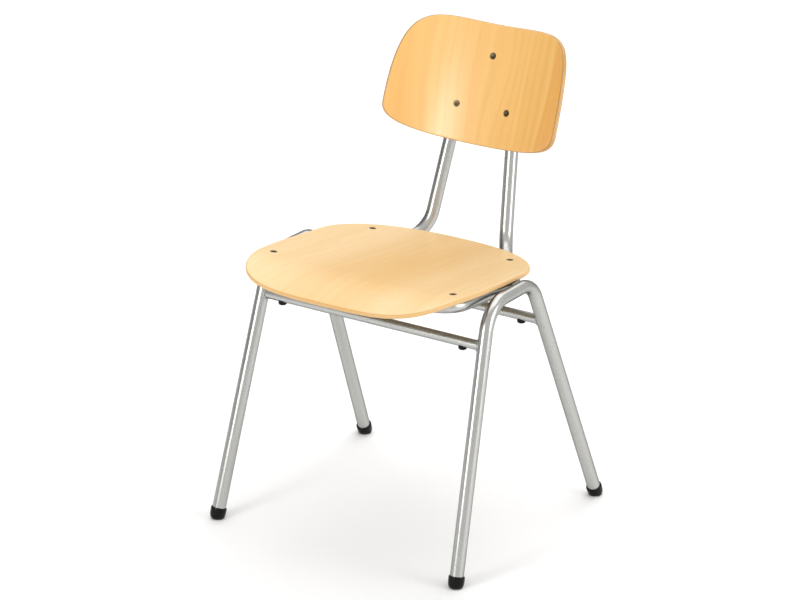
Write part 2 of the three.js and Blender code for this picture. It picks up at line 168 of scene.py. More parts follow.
def swept(points, radius, sides=40, closed=False):
    """A round section carried along a line without twisting. radius is a number or one for each point."""
    count = len(points)
    radii = radius if isinstance(radius, list) else [radius] * count
    runs = []
    for i in range(count):
        before = points[i - 1] if closed or i else points[0]
        after = points[(i + 1) % count] if closed or i < count - 1 else points[-1]
        arrive = (points[i] - before).normalized() if before is not points[i] else Vector()
        leave = (after - points[i]).normalized() if after is not points[i] else Vector()
        runs.append((arrive + leave).normalized())
    side = runs[0].orthogonal().normalized()
    sides_of = [side]
    for i in range(1, count):
        side = runs[i - 1].rotation_difference(runs[i]) @ side
        sides_of.append(side)
    slip = 0.0
    if closed:
        last = runs[-1].rotation_difference(runs[0]) @ side
        slip = last.angle(sides_of[0]) * (1 if last.cross(sides_of[0]).dot(runs[0]) > 0 else -1)
    verts, faces = [], []
    for i, at in enumerate(points):
        u = Quaternion(runs[i], slip * i / count) @ sides_of[i]
        v = runs[i].cross(u)
        for k in range(sides):
            a = 2 * math.pi * k / sides
            verts.append(at + (u * math.cos(a) + v * math.sin(a)) * radii[i])
    for i in range(count if closed else count - 1):
        for k in range(sides):
            j, n = (i + 1) % count, (k + 1) % sides
            faces.append((i * sides + k, i * sides + n, j * sides + n, j * sides + k))
    if not closed:
        faces.append(tuple(range(sides)))
        faces.append(tuple((count - 1) * sides + k for k in range(sides)))
    return verts, faces


def faces_between(rows):
    """The faces that join each ring of corners to the next. A ring of one corner closes the surface."""
    faces = []
    for lower, upper in zip(rows, rows[1:]):
        count = max(len(lower), len(upper))
        for k in range(count):
            n = (k + 1) % count
            below = [lower[k % len(lower)], lower[n % len(lower)]]
            above = [upper[n % len(upper)], upper[k % len(upper)]]
            corners = tuple(dict.fromkeys(below + above))
            if len(corners) > 2:
                faces.append(corners)
    return faces


def turned(profile, sides, radius_at=None):
    """A solid of revolution about Z. A radius of zero closes it. radius_at(row, angle) may reshape a row."""
    verts, rows = [], []
    for i, (radius, z) in enumerate(profile):
        if radius == 0:
            rows.append([len(verts)])
            verts.append(Vector((0, 0, z)))
            continue
        rows.append(list(range(len(verts), len(verts) + sides)))
        for k in range(sides):
            a = 2 * math.pi * k / sides
            r = radius_at(i, a) if radius_at else radius
            verts.append(Vector((r * math.cos(a), r * math.sin(a), z)))
    return verts, faces_between(rows)


def moved(verts, at, up):
    spin = Vector((0, 0, 1)).rotation_difference(up)
    return [spin @ v + at for v in verts]


def mirrored(points, sign):
    return [Vector((sign * p[0], p[1], p[2])) for p in points]


def rounded(profile, passes=2):
    """The profile with its inner corners cut smooth."""
    for _ in range(passes):
        smooth = [profile[0]]
        for (r0, z0), (r1, z1) in zip(profile, profile[1:]):
            smooth.append((r0 * 0.75 + r1 * 0.25, z0 * 0.75 + z1 * 0.25))
            smooth.append((r0 * 0.25 + r1 * 0.75, z0 * 0.25 + z1 * 0.75))
        smooth.append(profile[-1])
        profile = smooth
    return profile


# ---------------------------------------------------------------- materials


class Nodes:
    """Short ways to build a node material."""

    def __init__(self, name):
        self.material = bpy.data.materials.new(name)
        self.material.use_nodes = True
        self.tree = self.material.node_tree
        self.shader = self.tree.nodes["Principled BSDF"]

    def add(self, kind, inputs=None, **settings):
        node = self.tree.nodes.new(kind)
        for key, value in settings.items():
            setattr(node, key, value)
        for key, value in (inputs or {}).items():
            self.join(value, node.inputs[key])
        return node

    def join(self, value, socket):
        if isinstance(value, bpy.types.NodeSocket):
            self.tree.links.new(value, socket)
        elif isinstance(value, bpy.types.Node):
            self.tree.links.new(value.outputs[0], socket)
        else:
            socket.default_value = value

    def object_coords(self):
        return self.add("ShaderNodeTexCoord").outputs["Object"]

    def uv(self, layer):
        return self.add("ShaderNodeUVMap", uv_map=layer).outputs["UV"]

    def math(self, operation, a, b=0.0):
        return self.add("ShaderNodeMath", {0: a, 1: b}, operation=operation).outputs[0]

    def around_middle(self, value, reach):
        """A noise's value turned into an offset whose average is about zero."""
        return self.math("MULTIPLY", self.math("SUBTRACT", value, 0.5), reach)

    def placed(self, vector, scale=(1, 1, 1), offset=(0, 0, 0)):
        values = {"Vector": vector, "Scale": scale, "Location": offset}
        return self.add("ShaderNodeMapping", values).outputs[0]

    def noise(self, vector, scale, detail=2.0, roughness=0.5):
        values = {"Vector": vector, "Scale": scale, "Detail": detail, "Roughness": roughness}
        return self.add("ShaderNodeTexNoise", values).outputs["Fac"]

    def ramp(self, value, low, high, out_low=0.0, out_high=1.0):
        values = {"Value": value, "From Min": low, "From Max": high, "To Min": out_low, "To Max": out_high}
        return self.add("ShaderNodeMapRange", values).outputs[0]

    def blend(self, factor, a, b, kind="MIX"):
        node = self.add("ShaderNodeMix", data_type="RGBA", blend_type=kind)
        for value, index in ((factor, 0), (a, 6), (b, 7)):
            self.join(value, node.inputs[index])
        return node.outputs[2]

    def bump(self, height, distance, strength):
        values = {"Height": height, "Distance": distance, "Strength": strength}
        return self.add("ShaderNodeBump", values).outputs[0]

    def set(self, **values):
        for key, value in values.items():
            self.join(value, self.shader.inputs[key.replace("_", " ")])
        return self.material


def colour(r, g, b):
    return (r, g, b, 1.0)


def metallic_paint():
    """Silver powder coat: fine bright flakes under a thin gloss, with a faint orange peel."""
    n = Nodes("silver_powder_coat")
    at = n.object_coords()
    flakes = n.noise(at, 2600.0, 1.0)
    patches = n.noise(at, 14.0, 3.0)
    peel = n.noise(at, 420.0, 2.0)
    scuffs = n.noise(n.placed(at, (900, 900, 60)), 1.0, 3.0, 0.6)
    base = n.blend(n.ramp(flakes, 0.3, 0.7), colour(0.395, 0.395, 0.38), colour(0.57, 0.57, 0.55))
    base = n.blend(n.ramp(patches, 0.35, 0.7, 0.0, 0.25), base, colour(0.48, 0.475, 0.45))
    rough = n.math("ADD", n.ramp(patches, 0.3, 0.7, 0.22, 0.30), n.ramp(scuffs, 0.62, 0.8, 0.0, 0.12))
    n.set(Base_Color=base, Roughness=rough, Metallic=0.92, Normal=n.bump(peel, 0.00005, 0.35))
    return n.set(Coat_Weight=0.2, Coat_Roughness=0.1, Specular_Tint=colour(0.06, 0.06, 0.065))


def black_plastic():
    """Moulded plastic with a fine spark texture, paler and rougher in patches just above the floor."""
    n = Nodes("black_moulded_plastic")
    at = n.object_coords()
    spark = n.noise(at, 3200.0, 2.0)
    cloud = n.noise(at, 260.0, 4.0, 0.6)
    height = n.add("ShaderNodeSeparateXYZ", {0: at}).outputs[2]
    # Patches within a few millimetres of the floor are made paler and rougher.
    paler_near_floor = n.math("MULTIPLY", n.ramp(height, 0.0005, 0.005, 1.0, 0.0), n.ramp(cloud, 0.35, 0.6))
    base = n.blend(n.ramp(cloud, 0.3, 0.8), colour(0.002, 0.002, 0.002), colour(0.006, 0.006, 0.0055))
    base = n.blend(n.math("MULTIPLY", paler_near_floor, 0.6), base, colour(0.12, 0.10, 0.07))
    rough = n.math("ADD", n.ramp(cloud, 0.3, 0.7, 0.16, 0.26), n.math("MULTIPLY", paler_near_floor, 0.3))
    n.set(Base_Color=base, Roughness=rough, Normal=n.bump(spark, 0.00003, 0.2))
    return n.set(Specular_IOR_Level=0.16)


def zinc_steel():
    """Passivated zinc plate: a warm grey, darkened as painted shade of the sunk heads, with a cloudy shine
    and a fine grain.
    """
    n = Nodes("zinc_plated_steel")
    at = n.object_coords()
    cloud = n.noise(at, 700.0, 4.0, 0.6)
    grain = n.noise(at, 5000.0, 2.0)
    # The base is far darker than zinc's own grey: painted shade of the heads sunk in their countersinks.
    base = n.blend(n.ramp(cloud, 0.35, 0.65), colour(0.06, 0.042, 0.022), colour(0.22, 0.165, 0.09))
    rough = n.math("ADD", n.ramp(cloud, 0.3, 0.7, 0.24, 0.40), n.ramp(grain, 0.4, 0.7, 0.0, 0.06))
    return n.set(Base_Color=base, Roughness=rough, Metallic=1.0, Normal=n.bump(grain, 0.00002, 0.5))


def veneer(n, board, wood, seed):
    """The face of a rotary cut beech veneer: its colour, its fibres and its pores."""
    split = n.add("ShaderNodeSeparateXYZ", {0: board})
    across, along = split.outputs[0], split.outputs[1]

    # The growth rings are bands across the grain that wander slowly as they run along it.
    drift = n.around_middle(n.noise(n.placed(board, (5.0, 1.6, 1.0), (seed, 0, 0)), 1.0), 0.14)
    bent = n.math("ADD", across, drift)
    slowly = n.math("MULTIPLY", along, 0.05)
    rings_at = n.add("ShaderNodeCombineXYZ", {0: bent, 1: slowly, 2: seed}).outputs[0]
    broad = n.noise(rings_at, 26.0)
    narrow = n.noise(rings_at, 95.0, 3.0, 0.55)
    bands = n.math("SINE", n.math("MULTIPLY", n.math("ADD", bent, n.math("MULTIPLY", broad, 0.03)), 330.0))
    fibre = n.noise(n.placed(board, (1.0, 0.035, 1.0), (seed, 0, 0)), 900.0, 3.0, 0.6)
    pores = n.ramp(n.noise(n.placed(board, (1.0, 0.11, 1.0), (0, seed, 0)), 1500.0, 1.0), 0.66, 0.76)

    # A darker strip along the grain: heartwood on the backrest, painted shade down the middle of the seat.
    heartwood_and_shade = wood["heartwood_and_shade"]
    from_strip_middle = n.math("ABSOLUTE", n.math("SUBTRACT", n.math("ADD", bent, drift), heartwood_and_shade["across"]))
    heartwood_and_shade_share = n.ramp(from_strip_middle, heartwood_and_shade["core"], heartwood_and_shade["reach"], 1.0, 0.0)

    base = n.blend(n.ramp(broad, 0.36, 0.66), wood["pale"], wood["warm"])
    base = n.blend(n.math("MULTIPLY", heartwood_and_shade_share, 0.75), base, heartwood_and_shade["tint"])
    base = n.blend(n.math("MULTIPLY", n.ramp(narrow, 0.42, 0.68), 0.5), base, wood["warm"])
    base = n.blend(n.math("MULTIPLY", n.ramp(bands, 0.2, 1.0), wood["figure"]), base, wood["streak"])
    base = n.blend(n.ramp(fibre, 0.35, 0.75, 0.0, 0.26), base, wood["streak"])
    base = n.blend(n.math("MULTIPLY", pores, 0.18), base, wood["rim"])
    return base, fibre, pores


def layered_edge(n, board, depth, face, wood, thickness, seed):
    """The edge's colour: layers of veneer, each at a right angle to the next, with dark glue lines."""
    rough_depth = n.math("ADD", depth, n.around_middle(n.noise(board, 260.0), 0.22))
    layer = n.math("PINGPONG", n.math("MULTIPLY", rough_depth, PLIES / thickness), 1.0)
    crossed = n.ramp(layer, 0.42, 0.58)
    from_glue = n.math("ABSOLUTE", n.math("SUBTRACT", layer, 0.5))
    glue = n.math("MULTIPLY", n.ramp(from_glue, 0.03, 0.12, 1.0, 0.0), 0.5)
    end_grain = n.noise(n.placed(board, offset=(seed, 0, 0)), 2400.0)
    edge = n.blend(n.ramp(end_grain, 0.35, 0.7, 0.0, 0.6), wood["rim"], wood["streak"])
    edge = n.blend(n.math("ADD", n.math("MULTIPLY", crossed, 0.4), 0.3), face, edge)
    red, green, blue, _ = wood["rim"]
    return n.blend(glue, edge, colour(red * 0.55, green * 0.5, blue * 0.5))


def plywood(name, wood, thickness, seed):
    """Lacquered beech plywood. The board layer holds metres across and along the grain, and the ply layer
    holds the depth below the face in millimetres, which picks the layer of veneer."""
    n = Nodes(name)
    board = n.uv("board")
    depth = n.add("ShaderNodeSeparateXYZ", {0: n.uv("ply")}).outputs[0]
    face, fibre, pores = veneer(n, board, wood, seed)
    edge = layered_edge(n, board, depth, face, wood, thickness, seed)
    past_front = n.ramp(depth, 0.15, 0.45)
    before_rear = n.ramp(depth, thickness - 0.15, thickness - 0.45)
    inside = n.math("MULTIPLY", past_front, before_rear)
    # The rear face's colour is multiplied down: painted shade on the side of the board turned away from the
    # lights.
    shaded_rear_face = n.ramp(depth, thickness - 0.5, thickness - 0.2)
    base = n.blend(shaded_rear_face, n.blend(inside, face, edge), wood["rear_face_shade"], "MULTIPLY")
    rough = n.math("ADD", n.ramp(fibre, 0.3, 0.7, 0.36, 0.46), n.math("MULTIPLY", inside, 0.15))
    relief = n.math("ADD", fibre, n.math("MULTIPLY", pores, -0.6))
    n.set(Base_Color=base, Roughness=rough, Normal=n.bump(relief, 0.00004, 0.5))
    return n.set(Coat_Weight=wood["gloss"], Coat_Roughness=0.25, Specular_IOR_Level=0.3)


# The dark strip's middle is across metres from the board's centre line. Its tint is full as far as core
# metres from there and gone at reach. On the backrest the strip is heartwood; on the seat it is painted shade
# down its middle.
PALE_BEECH = dict(
    pale=colour(0.90, 0.67, 0.38),
    warm=colour(0.85, 0.60, 0.305),
    streak=colour(0.72, 0.44, 0.17),
    rim=colour(0.60, 0.32, 0.09),
    # The seat's strip is painted shade down its middle, not heartwood.
    heartwood_and_shade=dict(across=0.03, core=0.02, reach=0.14, tint=colour(0.78, 0.475, 0.17)),
    # The seat's underside is darkened and cooled to a blue grey as painted shade.
    rear_face_shade=colour(0.38, 0.42, 0.48),
    figure=0.1,
    gloss=0.18,
)
GOLDEN_BEECH = dict(
    pale=colour(0.885, 0.545, 0.185),
    warm=colour(0.84, 0.475, 0.138),
    streak=colour(0.74, 0.385, 0.095),
    # This rim colour is far darker than beech end grain: it paints shade along the backrest's rounded edge.
    rim=colour(0.20, 0.125, 0.06),
    heartwood_and_shade=dict(across=0.165, core=0.045, reach=0.056, tint=colour(0.77, 0.375, 0.085)),
    # The backrest's rear face is darkened a little as painted shade.
    rear_face_shade=colour(0.9, 0.9, 0.9),
    figure=0.24,
    gloss=1.0,
)

PAINT = metallic_paint()
BLACK = black_plastic()
ZINC = zinc_steel()
SEAT_WOOD = plywood("seat_beech_plywood", PALE_BEECH, SEAT["thickness"], 3.7)
BACK_WOOD = plywood("back_beech_plywood", GOLDEN_BEECH, BACK["thickness"], 11.3)

# ---------------------------------------------------------------- plywood shells

SHELL_SHARP_ANGLE = 40  # degrees


def shell(name, node, thickness, edge_reach, place, flat, material):
    """A plate with rounded edges, edge_reach from its middle. share runs from the middle, 0, to the edge, 1,
    and turn goes round it. place(share, turn, depth) gives a point, and flat its place on the flat board."""
    sides, rings, rounding_steps = 200, 26, 7
    inner = 1 - EDGE_ROUNDING / edge_reach
    profile = [(inner * (k / rings) ** 0.9, 0.0) for k in range(rings + 1)]
    for k in range(1, rounding_steps + 1):
        a = math.pi / 2 * k / rounding_steps
        inset, depth = EDGE_ROUNDING * (1 - math.sin(a)), EDGE_ROUNDING * (1 - math.cos(a))
        profile.append((1 - inset / edge_reach, depth))
    profile += [(share, thickness - depth) for share, depth in reversed(profile)]
    points, rows, board, ply = [], [], [], []
    for share, depth in profile:
        turns = [0.0] if share == 0 else [2 * math.pi * k / sides for k in range(sides)]
        rows.append(list(range(len(points), len(points) + len(turns))))
        for turn in turns:
            points.append(place(share, turn, depth))
            board.append([v * MM for v in flat(share, turn)])
            ply.append((depth, 0.0))
    uvs = {"board": board, "ply": ply}
    return piece(name, points, faces_between(rows), material, [node], uvs, SHELL_SHARP_ANGLE)


def seat_roll(y):
    """How far a place is in front of the line where the seat starts to roll down."""
    return max(0, SEAT["roll_y"] - y)


def seat_height(x, y):
    s = SEAT
    level = s["height"] - s["slope"] * (y - s["datum_y"])
    return level + s["dish"] * (x / s["dish_half_width"]) ** 2 - seat_roll(y) ** 2 / (2 * s["roll_radius"])


def seat_inward(x, y):
    across = 2 * SEAT["dish"] * x / SEAT["dish_half_width"] ** 2
    along = seat_roll(y) / SEAT["roll_radius"] - SEAT["slope"]
    return Vector((across, along, -1)).normalized()


def seat_flat(share, turn):
    s = SEAT
    across, along = math.cos(turn), math.sin(turn)
    power = 2 / (s["rear_power"] if along > 0 else s["front_power"])
    reach = s["rear_y"] - s["waist_y"] if along > 0 else s["waist_y"] - s["front_y"]
    edge_y = s["waist_y"] + math.copysign(reach * abs(along) ** power, along)
    widened = 1 + s["widening"] * (s["waist_y"] - edge_y)
    edge_x = widened * s["half_width"] * math.copysign(abs(across) ** power, across)
    middle_y = (s["rear_y"] + s["front_y"]) / 2
    return share * edge_x, middle_y + share * (edge_y - middle_y)


def seat_place(share, turn, depth):
    x, y = seat_flat(share, turn)
    return Vector((x, y, seat_height(x, y))) + seat_inward(x, y) * depth


def back_front(u, z):
    b = BACK
    rise = z - b["datum_z"]
    sag = b["radius"] * (1 - math.cos(u / b["radius"])) + b["wing_rise"] * (u / b["wing_span"]) ** 4
    y = b["datum_y"] + b["lean"] * rise + b["lean_growth"] * rise ** 2 - sag
    return Vector((b["radius"] * math.sin(u / b["radius"]), y, z))


def back_inward(u, z):
    sideways = back_front(u + 0.5, z) - back_front(u - 0.5, z)
    upwards = back_front(u, z + 0.5) - back_front(u, z - 0.5)
    return upwards.cross(sideways).normalized()


def bezier(points, t):
    s = 1 - t
    weights = (s ** 3, 3 * s * s * t, 3 * s * t * t, t ** 3)
    return tuple(sum(w * p[axis] for w, p in zip(weights, points)) for axis in (0, 1))


def back_edge(share):
    """The backrest's outline, from its widest point on the sitter's left, over the top and round."""
    b = BACK
    w, top, wide, low = b["half_width"], b["top_z"], b["widest_z"], b["bottom_z"]
    shoulder, hip = wide + b["upper_handle"], wide - b["lower_handle"]
    curves = [
        [(w, wide), (w, shoulder), (b["top_handle"], top), (0, top)],
        [(0, top), (-b["top_handle"], top), (-w, shoulder), (-w, wide)],
        [(-w, wide), (-w, hip), (-b["bottom_handle"], low), (0, low)],
        [(0, low), (b["bottom_handle"], low), (w, hip), (w, wide)],
    ]
    part = (share % 1) * 4
    return bezier(curves[int(part)], part - int(part))


def back_flat(share, turn):
    edge_u, edge_z = back_edge(turn / (2 * math.pi))
    middle_z = (BACK["top_z"] + BACK["bottom_z"]) / 2
    return share * edge_u, middle_z + share * (edge_z - middle_z)


def back_place(share, turn, depth):
    u, z = back_flat(share, turn)
    return back_front(u, z) + back_inward(u, z) * depth


seat = shell("plywood_seat", "seat_shell", SEAT["thickness"], (SEAT["rear_y"] - SEAT["front_y"]) / 2,
             seat_place, seat_flat, SEAT_WOOD)
back = shell("plywood_backrest", "backrest_shell", BACK["thickness"], (BACK["top_z"] - BACK["bottom_z"]) / 2,
             back_place, back_flat, BACK_WOOD)

# ---------------------------------------------------------------- bolts


def seat_bolt(x, y):
    return Vector((x, y, seat_height(x, y))), seat_inward(x, y)


def back_bolt(u, z):
    return back_front(u, z), back_inward(u, z)


BOLTS = {"top_back": (back_bolt(*TOP_BACK_BOLT), back)}
for side, sign in (("left", 1), ("right", -1)):
    BOLTS[f"{side}_front_seat"] = (seat_bolt(sign * FRONT_BOLT[0], FRONT_BOLT[1]), seat)
    BOLTS[f"{side}_rear_seat"] = (seat_bolt(sign * REAR_BOLT[0], REAR_BOLT[1]), seat)
    BOLTS[f"{side}_back"] = (back_bolt(sign * LOWER_BACK_BOLT[0], LOWER_BACK_BOLT[1]), back)


def bolt_mesh():
    """A countersunk bolt with a hexagonal socket and a threaded shank. Its head is level with z = 0."""
    pitch, thread_depth = 1.0, 0.4
    shank = [(0, -BOLT_LENGTH), (BOLT_RADIUS - 0.7, -BOLT_LENGTH)]
    for k in range(int((BOLT_LENGTH - COUNTERSINK_DEPTH) / pitch) - 1, 0, -1):
        z = -COUNTERSINK_DEPTH - k * pitch
        shank += [(BOLT_RADIUS, z), (BOLT_RADIUS - thread_depth, z + pitch / 2)]
    shank += [(BOLT_RADIUS, -COUNTERSINK_DEPTH)]
    head = [(BOLT_HEAD_RADIUS, -0.45), (BOLT_HEAD_RADIUS, -0.2), (BOLT_HEAD_RADIUS - 0.25, 0)]
    socket_rim = [(2.75, 0)]
    socket = [(HEX_KEY / 2, -0.25), (HEX_KEY / 2, -1.9), (0, -2.5)]
    round_part = shank + head + socket_rim

    def radius_at(row, angle):
        if row < len(round_part):
            return round_part[row][0]
        wedge = (angle + math.pi / 6) % (math.pi / 3) - math.pi / 6
        return HEX_KEY / 2 / math.cos(wedge)

    return turned(round_part + socket, 48, radius_at)


def bolt_hole_cutter(bolts, thickness):
    """The straight holes and the countersinks of a shell, standing clear of it on both sides."""
    below, above = -thickness - 6, 5
    head = BOLT_HEAD_RADIUS + COUNTERSINK_ROOM
    profile = [(0, below), (BOLT_HOLE_RADIUS, below), (BOLT_HOLE_RADIUS, -COUNTERSINK_DEPTH - GAP),
               (head, -COUNTERSINK_ROOM), (head, above), (0, above)]
    verts, faces = [], []
    for at, inward in bolts:
        hole, hole_faces = turned(profile, 40)
        faces += [tuple(len(verts) + i for i in face) for face in hole_faces]
        verts += moved(hole, at, -inward)
    mesh = bpy.data.meshes.new("cutter")
    mesh.from_pydata([to_frame(v) for v in verts], [], faces)
    cutter = bpy.data.objects.new("cutter", mesh)
    bpy.context.scene.collection.objects.link(cutter)
    finish_mesh(cutter, 30)
    return cutter


def merge_slivers(mesh):
    """Clears the slivers that a cut leaves where it passes close to a corner of the mesh."""
    bm = bmesh.new()
    bm.from_mesh(mesh)
    bmesh.ops.remove_doubles(bm, verts=bm.verts, dist=SLIVER * MM)
    bmesh.ops.dissolve_degenerate(bm, edges=bm.edges, dist=SLIVER * MM)
    bmesh.ops.triangulate(bm, faces=[face for face in bm.faces if len(face.verts) > 4])
    bm.to_mesh(mesh)
    bm.free()


def cut_bolt_holes(obj, bolts, thickness):
    cutter = bolt_hole_cutter(bolts, thickness)
    holes = obj.modifiers.new("holes", "BOOLEAN")
    holes.operation = "DIFFERENCE"
    holes.solver = "EXACT"
    holes.object = cutter
    bpy.context.view_layer.update()
    view = bpy.context.evaluated_depsgraph_get()
    cut = bpy.data.meshes.new_from_object(obj.evaluated_get(view))
    obj.modifiers.clear()
    obj.data = cut
    merge_slivers(cut)
    cut.set_sharp_from_angle(angle=math.radians(SHELL_SHARP_ANGLE))
    bpy.data.objects.remove(cutter)


cut_bolt_holes(seat, [spot for spot, board in BOLTS.values() if board is seat], SEAT["thickness"])
cut_bolt_holes(back, [spot for spot, board in BOLTS.values() if board is back], BACK["thickness"])

for name, ((at, inward), _) in BOLTS.items():
    verts, faces = bolt_mesh()
    piece(f"{name}_socket_bolt", moved(verts, at, -inward), faces, ZINC, [f"{name}_bolt"])
    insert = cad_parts[f"{name}_insert"]
    insert.data.materials.clear()
    insert.data.materials.append(ZINC)

# ---------------------------------------------------------------- tubes


def leg_direction(end):
    return (leg_point(end, TOP_HEIGHT) - leg_point(end, 0)).normalized()


def leg_frame_line():
    ends = {end: leg_point(end, 0) + leg_direction(end) * TUBE_END_HEIGHT for end in FOOT_Y}
    corners = [(leg_point(end, TOP_HEIGHT), LEG_BEND[end]) for end in FOOT_Y]
    return bent_line(ends["front"], corners, ends["rear"])


def tube_middle(bolt, thickness, room=GAP):
    at, inward = bolt
    return at + inward * (thickness + room + TUBE_RADIUS)


def ring_line():
    """The long tube's closed centre line: seat ring, uprights and back hoop, welded at the front."""
    r = RING
    rear = tube_middle(seat_bolt(*REAR_BOLT), SEAT["thickness"])
    lower = tube_middle(back_bolt(*LOWER_BACK_BOLT), BACK["thickness"], 4 * GAP)
    top = tube_middle(back_bolt(*TOP_BACK_BOLT), BACK["thickness"], 4 * GAP)
    upright = Vector(UPRIGHT_HEAD)
    narrowing = (upright.x - lower.x) / (lower.z - upright.z)
    half = [
        ((r["front_half_width"], r["front_y"], r["front_corner_z"]), r["front_bend"]),
        ((r["front_half_width"], r["side_y"], r["side_z"]), r["side_bend"]),
        ((r["weld_half_width"], r["weld_y"], r["weld_z"]), r["weld_bend"]),
        (tuple(rear), r["bolt_bend"]),
        (UPRIGHT_FOOT, r["upright_bend"]),
        (UPRIGHT_HEAD, r["back_bend"]),
        ((lower.x - narrowing * (top.z - lower.z), top.y, top.z), r["hoop_bend"]),
    ]
    other = [((-p[0], p[1], p[2]), bend) for p, bend in half]
    middle = (0, r["front_y"], r["front_middle_z"])
    return bent_line(middle, other + half[::-1], middle)[:-1]


def ripple(step):
    """How thick a bead is at one step along it, as a share of its radius."""
    return 0.9 + 0.12 * math.sin(2.1 * step) + 0.05 * math.sin(5.3 * step + 1)


def weld_bead(name, points, radius, closed=False):
    """A weld: a low bead whose ripples follow one another along the joint. An open one thins at its ends."""
    radii = [radius * ripple(k) for k in range(len(points))]
    if not closed:
        last = len(points) - 1
        radii = [r * math.sqrt(max(0.04, 1 - (2 * k / last - 1) ** 6)) for k, r in enumerate(radii)]
    verts, faces = swept(points, radii, 14, closed)
    piece(name, verts, faces, PAINT, [], sharp=60)


def cross_weld(end, height, sign):
    """The line where a cross tube's round meets a leg's round, on the inner side of the leg."""
    middle, along = leg_point(end, height), leg_direction(end)
    count, cross_radius, leg_radius = 72, CROSS_RADIUS + 0.5, TUBE_RADIUS + GAP
    line = []
    for k in range(count):
        a = 2 * math.pi * k / count
        y, z = cross_radius * math.cos(a), cross_radius * math.sin(a)
        # x solves p x^2 + q x + r = 0: the point's distance to the leg's centre line is leg_radius.
        lean = y * along.y + z * along.z
        p = 1 - along.x ** 2
        q = -2 * along.x * lean
        r = y * y + z * z - lean ** 2 - leg_radius ** 2
        x = (-q - math.sqrt(q * q - 4 * p * r)) / (2 * p)
        line.append(Vector((sign * (middle.x + x), middle.y + y, height + z)))
    return line


def butt_seam():
    """The line round the ring tube where its two ends are welded, in the middle of the front bow."""
    count, radius, waver = 60, TUBE_RADIUS - 0.1, 0.25
    line = []
    for k in range(count):
        a = 2 * math.pi * k / count
        y = RING["front_y"] + radius * math.cos(a)
        z = RING["front_middle_z"] + radius * math.sin(a)
        line.append(Vector((waver * math.sin(1.7 * k), y, z)))
    return line


def rail_weld(ring, up):
    """The line of a weld beside the place where the ring touches a leg frame's top rail. up is 1 or -1."""
    touch = max(ring, key=lambda p: p.x)
    rail = Vector((TOP_HALF_WIDTH, touch.y, TOP_HEIGHT))
    between = rail - touch
    clear = math.sqrt((TUBE_RADIUS + RAIL_BEAD_RADIUS) ** 2 - (between.length / 2) ** 2)
    rise = -up * clear * Vector((0, 1, 0)).cross(between.normalized()).normalized()
    middle = (rail + touch) / 2 + rise
    return [middle + Vector((0, RAIL_WELD_HALF_LENGTH * (k / 15 - 1), 0)) for k in range(31)]


for side, sign in (("left", 1), ("right", -1)):
    verts, faces = swept(mirrored(leg_frame_line(), sign), TUBE_RADIUS)
    piece(f"{side}_leg_tube", verts, faces, PAINT, [f"{side}_leg_frame"])
for end, height in CROSS_HEIGHT.items():
    at = leg_point(end, height)
    reach = at.x - TUBE_RADIUS + 3
    verts, faces = swept([Vector((x, at.y, at.z)) for x in (-reach, 0, reach)], CROSS_RADIUS, 36)
    piece(f"{end}_cross_bar", verts, faces, PAINT, [f"{end}_cross_tube"])
    for side, sign in (("left", 1), ("right", -1)):
        weld_bead(f"{side}_{end}_cross_weld", cross_weld(end, height, sign), 1.7, True)

ring = ring_line()
verts, faces = swept(ring, TUBE_RADIUS, 40, True)
piece("seat_ring_and_back_hoop", verts, faces, PAINT, ["seat_and_back_tube"])
weld_bead("front_bow_butt_weld", butt_seam(), 1.0, True)
for side, sign in (("left", 1), ("right", -1)):
    for level, up in (("upper", 1), ("lower", -1)):
        weld_bead(f"{side}_{level}_rail_weld", mirrored(rail_weld(ring, up), sign), RAIL_BEAD_RADIUS)

# ---------------------------------------------------------------- caps and bumpers


def cut_at_floor(verts, faces):
    """The part of a closed mesh that is above the floor, closed again with a flat face."""
    bm = bmesh.new()
    corners = [bm.verts.new(v) for v in verts]
    for face in faces:
        bm.faces.new([corners[i] for i in face])
    whole = bm.verts[:] + bm.edges[:] + bm.faces[:]
    sliced = bmesh.ops.bisect_plane(bm, geom=whole, plane_co=(0, 0, 0), plane_no=(0, 0, 1), clear_inner=True)
    rim = [e for e in sliced["geom_cut"] if isinstance(e, bmesh.types.BMEdge)]
    bmesh.ops.contextual_create(bm, geom=rim)
    bm.verts.index_update()
    kept_verts = [v.co.copy() for v in bm.verts]
    kept_faces = [tuple(v.index for v in face.verts) for face in bm.faces]
    bm.free()
    return kept_verts, kept_faces


def foot_cap(name, end, sign):
    """A moulded cup with a rounded bottom, cut off level with the floor."""
    bore = TUBE_RADIUS + 0.15
    lip = CAP_HEIGHT
    outer = [(0, -3), (5, -3), (9, -1), (11.6, 2), (12.9, 7), (CAP_RADIUS, 12), (CAP_RADIUS, lip - 3)]
    rim = [(CAP_RADIUS, lip - 1.4), (12.9, lip - 0.4), (12.3, lip), (11.6, lip - 0.2), (bore, lip - 0.8)]
    profile = rounded(outer) + rim + [(bore, TUBE_END_HEIGHT - GAP), (0, TUBE_END_HEIGHT - GAP)]
    verts, faces = turned(profile, 64)
    verts = mirrored(moved(verts, leg_point(end, 0), leg_direction(end)), sign)
    verts, faces = cut_at_floor(verts, faces)
    piece(name, verts, faces, BLACK, [f"{name}_cap"], sharp=30)


def bumper(name, end, sign):
    """A plug with a domed head under the cross tube and a stem inside it."""
    at = leg_point(end, CROSS_HEIGHT[end])
    dome = rounded([(0, -13), (4.8, -13), (6.9, -11.4), (7.2, -9.2), (7.2, -4)])
    profile = dome + [(2.5, -4), (2.5, -1.5), (1.6, 0), (0, 0)]
    verts, faces = turned(profile, 48)
    verts = [v + Vector((sign * BUMPER_HALF_SPACING, at.y, at.z)) for v in verts]
    piece(name, verts, faces, BLACK, [f"{name}_bumper"], sharp=40)


